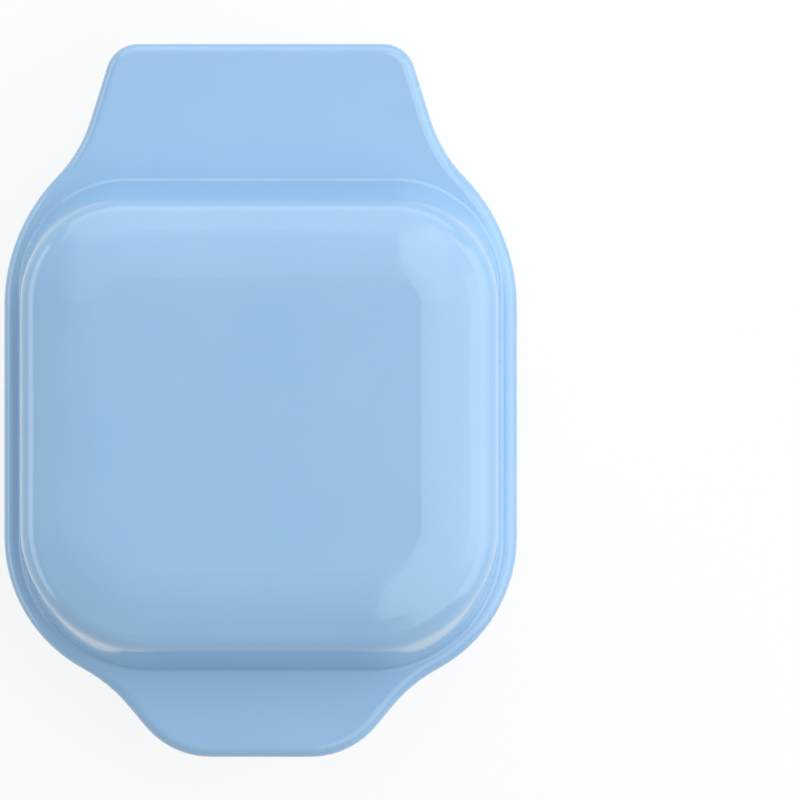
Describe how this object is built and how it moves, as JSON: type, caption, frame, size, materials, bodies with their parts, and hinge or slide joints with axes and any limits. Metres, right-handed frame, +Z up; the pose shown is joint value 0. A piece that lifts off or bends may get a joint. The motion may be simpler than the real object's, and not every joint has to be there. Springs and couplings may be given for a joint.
{
  "type": "waffle maker",
  "caption": "Square waffle maker with a hinged domed lid, facing pegged cooking plates, heating loops, a front handle tab and rubber feet.",
  "frame": {"origin": "centre of the footprint on the table", "axes": "+Z up, -Y the front with the handle tab, +Y the rear with the hinge, +X the right side"},
  "size_m": [0.127, 0.1766, 0.07],
  "materials": {
    "shell_blue": "gloss, slightly rounded mould edges",
    "frame_blue": "satin",
    "nonstick": "satin non-stick coat on a casting",
    "heater_sheath": "heat-tinted satin",
    "cold_pin": "bright drawn",
    "ceramic": "fired ceramic, matt",
    "pan_sheet": "pressed sheet, satin",
    "screw_steel": "zinc plated",
    "strap_steel": "pressed strip",
    "thermostat_case": "satin case",
    "fuse_case": "drawn case",
    "hinge_steel": "turned",
    "bush_brass": "turned",
    "foot_rubber": "matt",
    "gland_rubber": "matt",
    "junction_plastic": "matt",
    "lens_amber": "clear tinted",
    "bulb_glass": "clear",
    "lead_white": "silicone",
    "sleeve_braid": "woven glass braid"
  },
  "bodies": {
    "base": {"base_frame": "frame_blue", "base_frame_screws": "screw_steel", "base_leads": "lead_white", "base_shell": "shell_blue", "cord_gland": "gland_rubber", "hinge_clips": "hinge_steel", "hinge_pin_left": "hinge_steel", "hinge_pin_right": "hinge_steel", "hinge_sleeve_base": "sleeve_braid", "lamp_bulb": "bulb_glass", "lamp_holder": "junction_plastic", "lamp_lens": "lens_amber", "lid_bumpers": "foot_rubber", "lower_heater": "heater_sheath", "lower_heater_beads": "ceramic", "lower_heater_pins": "cold_pin", "lower_pan_screws": "screw_steel", "lower_plate": "nonstick", "lower_plate_screws": "screw_steel", "lower_reflector": "pan_sheet", "lower_strap_screws": "screw_steel", "rubber_feet": "foot_rubber", "terminal_block": "junction_plastic", "terminal_screws": "bush_brass", "thermostat": "thermostat_case", "thermostat_strap": "strap_steel"},
    "lid": {"lid_shell": "shell_blue", "lid_frame": "frame_blue", "lid_frame_screws": "screw_steel", "upper_plate": "nonstick", "upper_plate_screws": "screw_steel", "upper_heater": "heater_sheath", "upper_heater_pins": "cold_pin", "upper_heater_beads": "ceramic", "upper_reflector": "pan_sheet", "upper_pan_screws": "screw_steel", "upper_strap_screws": "screw_steel", "thermal_fuse": "fuse_case", "fuse_strap": "strap_steel", "hinge_bushes": "bush_brass", "hinge_sleeve_lid": "sleeve_braid", "lid_leads": "lead_white"}
  },
  "joints": [
    {"name": "lid_hinge", "type": "hinge", "parent": "base", "child": "lid", "pos_m": [0, 0.0738, 0.037], "axis": [-1, 0, 0], "range_deg": [0, 100]}
  ]
}
